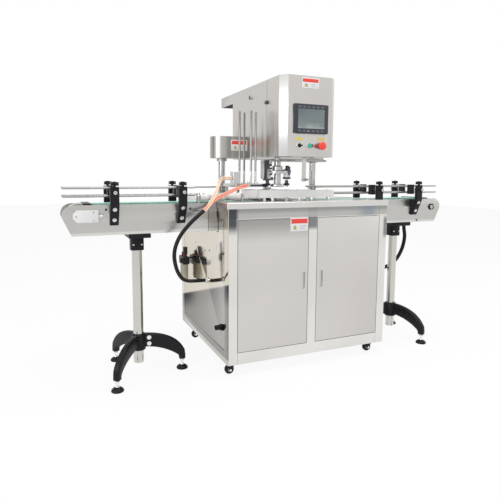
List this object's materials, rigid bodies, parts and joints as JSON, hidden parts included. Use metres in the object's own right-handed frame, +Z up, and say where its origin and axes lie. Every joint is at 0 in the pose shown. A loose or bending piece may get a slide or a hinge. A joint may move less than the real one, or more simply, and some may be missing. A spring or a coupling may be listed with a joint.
{
  "type": "can seaming machine",
  "caption": "Automatic can seaming machine: wheeled stainless cabinet with doors, through conveyor on tripod stands, guide rails, star wheel, lid magazine and a seaming head on columns.",
  "frame": {"origin": "centre of the footprint on the floor", "axes": "+X along the conveyor in the direction the cans travel, +Y from the operator's side into the cabinet, +Z up"},
  "size_m": [2.3224, 0.934, 1.5713],
  "materials": {
    "stainless": "brushed stainless sheet",
    "steel": "machined steel, satin",
    "black_plastic": "moulded black plastic",
    "white_plastic": "machined white plastic",
    "mint_plastic": "moulded slats",
    "rubber": "caster tread",
    "aluminium": "satin",
    "grey_paint": "powder coat",
    "green_button": "moulded",
    "red_button": "moulded",
    "salmon_tube": "flexible air tube",
    "screen": "dark bezel and screen"
  },
  "bodies": {
    "machine": {"cabinet_frame": "stainless", "back_panel": "stainless", "table_front": "steel", "table_rear": "steel", "power_inlet": "black_plastic", "conveyor_near_plate": "stainless", "conveyor_far_plate": "stainless", "conveyor_bed": "steel", "infeed_chain": "mint_plastic", "outfeed_chain": "mint_plastic", "take_up_bearing": "white_plastic", "guide_bracket_1": "black_plastic", "guide_bracket_2": "black_plastic", "guide_bracket_3": "black_plastic", "guide_bracket_4": "black_plastic", "left_stand_post": "stainless", "left_stand_base": "black_plastic", "right_stand_post": "stainless", "right_stand_base": "black_plastic", "left_column": "stainless", "right_column": "stainless", "drive_motor": "grey_paint", "electrical_plate": "grey_paint", "turret_guide": "white_plastic", "lid_magazine": "aluminium", "air_unit": "black_plastic", "left_hose": "black_plastic", "right_hose": "black_plastic", "air_tubes": "salmon_tube"},
    "left_door": {"left_door": "stainless"},
    "right_door": {"right_door": "stainless"},
    "seaming_carriage": {"crossbeam": "stainless", "head_housing": "stainless", "head_side_panel": "stainless", "touch_screen": "screen"},
    "selector": {"selector_switch": "black_plastic"},
    "start": {"start_button": "green_button"},
    "stop": {"emergency_stop": "red_button"},
    "seaming_head": {"seaming_head": "steel"},
    "roller_1": {"seaming_roller_1": "stainless"},
    "roller_2": {"seaming_roller_2": "stainless"},
    "star_wheel": {"star_wheel": "white_plastic"},
    "can_lifter": {"can_lifter": "stainless"},
    "infeed_screw": {"infeed_screw": "white_plastic"},
    "infeed_idler": {"infeed_idler_shaft": "stainless"},
    "infeed_drive": {"infeed_drive_shaft": "stainless"},
    "outfeed_idler": {"outfeed_idler_shaft": "stainless"},
    "outfeed_drive": {"outfeed_drive_shaft": "stainless"},
    "infeed_near_rail": {"infeed_near_rail": "stainless"},
    "infeed_far_rail": {"infeed_far_rail": "stainless"},
    "outfeed_near_rail": {"outfeed_near_rail": "stainless"},
    "outfeed_far_rail": {"outfeed_far_rail": "stainless"},
    "caster_1": {"caster_fork_1": "black_plastic"},
    "wheel_1": {"caster_wheel_1": "rubber"},
    "caster_2": {"caster_fork_2": "black_plastic"},
    "wheel_2": {"caster_wheel_2": "rubber"},
    "caster_3": {"caster_fork_3": "black_plastic"},
    "wheel_3": {"caster_wheel_3": "rubber"},
    "caster_4": {"caster_fork_4": "black_plastic"},
    "wheel_4": {"caster_wheel_4": "rubber"}
  },
  "joints": [
    {"name": "left_door_hinge", "type": "hinge", "parent": "machine", "child": "left_door", "pos_m": [-0.327, -0.448, 0.126], "axis": [0, 0, -1], "range_deg": [0, 110]},
    {"name": "right_door_hinge", "type": "hinge", "parent": "machine", "child": "right_door", "pos_m": [0.544, -0.448, 0.126], "axis": [0, 0, 1], "range_deg": [0, 110]},
    {"name": "head_lift", "type": "slide", "parent": "machine", "child": "seaming_carriage", "axis": [0, 0, 1], "range_m": [0, 0.1]},
    {"name": "selector_turn", "type": "hinge", "parent": "seaming_carriage", "child": "selector", "pos_m": [0.0225, -0.433, 1.2083], "axis": [0, 1, 0], "range_deg": [-45, 45]},
    {"name": "start_press", "type": "slide", "parent": "seaming_carriage", "child": "start", "axis": [0, 1, 0], "range_m": [0, 0.004], "stiffness_N_per_m": 400},
    {"name": "stop_press", "type": "slide", "parent": "seaming_carriage", "child": "stop", "axis": [0, 1, 0], "range_m": [0, 0.005], "stiffness_N_per_m": 800},
    {"name": "seaming_head_spin", "type": "hinge", "parent": "seaming_carriage", "child": "seaming_head", "pos_m": [0.0135, -0.203, 1.15], "axis": [0, 0, 1], "continuous": true},
    {"name": "roller_1_spin", "type": "hinge", "parent": "seaming_head", "child": "roller_1", "pos_m": [-0.0485, -0.203, 0.992], "axis": [0, 0, 1], "continuous": true},
    {"name": "roller_2_spin", "type": "hinge", "parent": "seaming_head", "child": "roller_2", "pos_m": [0.0755, -0.203, 0.992], "axis": [0, 0, 1], "continuous": true},
    {"name": "star_wheel_spin", "type": "hinge", "parent": "machine", "child": "star_wheel", "pos_m": [0.0135, -0.073, 0.914], "axis": [0, 0, 1], "continuous": true},
    {"name": "infeed_screw_spin", "type": "hinge", "parent": "machine", "child": "infeed_screw", "pos_m": [-0.364, -0.273, 0.9355], "axis": [1, 0, 0], "continuous": true},
    {"name": "can_lifter_lift", "type": "slide", "parent": "machine", "child": "can_lifter", "axis": [0, 0, 1], "range_m": [0, 0.05]},
    {"name": "infeed_idler_spin", "type": "hinge", "parent": "machine", "child": "infeed_idler", "pos_m": [-1.0865, -0.203, 0.852], "axis": [0, 1, 0], "continuous": true},
    {"name": "infeed_drive_spin", "type": "hinge", "parent": "machine", "child": "infeed_drive", "pos_m": [-0.1445, -0.203, 0.852], "axis": [0, 1, 0], "continuous": true},
    {"name": "outfeed_idler_spin", "type": "hinge", "parent": "machine", "child": "outfeed_idler", "pos_m": [0.1715, -0.203, 0.852], "axis": [0, 1, 0], "continuous": true},
    {"name": "outfeed_drive_spin", "type": "hinge", "parent": "machine", "child": "outfeed_drive", "pos_m": [1.0865, -0.203, 0.852], "axis": [0, 1, 0], "continuous": true},
    {"name": "infeed_near_rail_adjust", "type": "slide", "parent": "machine", "child": "infeed_near_rail", "axis": [0, 1, 0], "range_m": [-0.018, 0.018]},
    {"name": "infeed_far_rail_adjust", "type": "slide", "parent": "machine", "child": "infeed_far_rail", "axis": [0, 1, 0], "range_m": [-0.018, 0.018]},
    {"name": "outfeed_near_rail_adjust", "type": "slide", "parent": "machine", "child": "outfeed_near_rail", "axis": [0, 1, 0], "range_m": [-0.018, 0.018]},
    {"name": "outfeed_far_rail_adjust", "type": "slide", "parent": "machine", "child": "outfeed_far_rail", "axis": [0, 1, 0], "range_m": [-0.018, 0.018]},
    {"name": "caster_1_swivel", "type": "hinge", "parent": "machine", "child": "caster_1", "pos_m": [-0.3365, -0.398, 0.0607], "axis": [0, 0, 1], "continuous": true},
    {"name": "wheel_1_roll", "type": "hinge", "parent": "caster_1", "child": "wheel_1", "pos_m": [-0.3585, -0.398, 0.025], "axis": [0, 1, 0], "continuous": true},
    {"name": "caster_2_swivel", "type": "hinge", "parent": "machine", "child": "caster_2", "pos_m": [0.5535, -0.398, 0.0607], "axis": [0, 0, 1], "continuous": true},
    {"name": "wheel_2_roll", "type": "hinge", "parent": "caster_2", "child": "wheel_2", "pos_m": [0.5315, -0.398, 0.025], "axis": [0, 1, 0], "continuous": true},
    {"name": "caster_3_swivel", "type": "hinge", "parent": "machine", "child": "caster_3", "pos_m": [-0.3365, 0.207, 0.0607], "axis": [0, 0, 1], "continuous": true},
    {"name": "wheel_3_roll", "type": "hinge", "parent": "caster_3", "child": "wheel_3", "pos_m": [-0.3585, 0.207, 0.025], "axis": [0, 1, 0], "continuous": true},
    {"name": "caster_4_swivel", "type": "hinge", "parent": "machine", "child": "caster_4", "pos_m": [0.5535, 0.207, 0.0607], "axis": [0, 0, 1], "continuous": true},
    {"name": "wheel_4_roll", "type": "hinge", "parent": "caster_4", "child": "wheel_4", "pos_m": [0.5315, 0.207, 0.025], "axis": [0, 1, 0], "continuous": true}
  ],
  "couplings": [
    {"joint": "infeed_idler_spin", "follows": "infeed_drive_spin", "ratio": 1},
    {"joint": "outfeed_idler_spin", "follows": "outfeed_drive_spin", "ratio": 1},
    {"joint": "infeed_screw_spin", "follows": "star_wheel_spin", "ratio": -6}
  ]
}
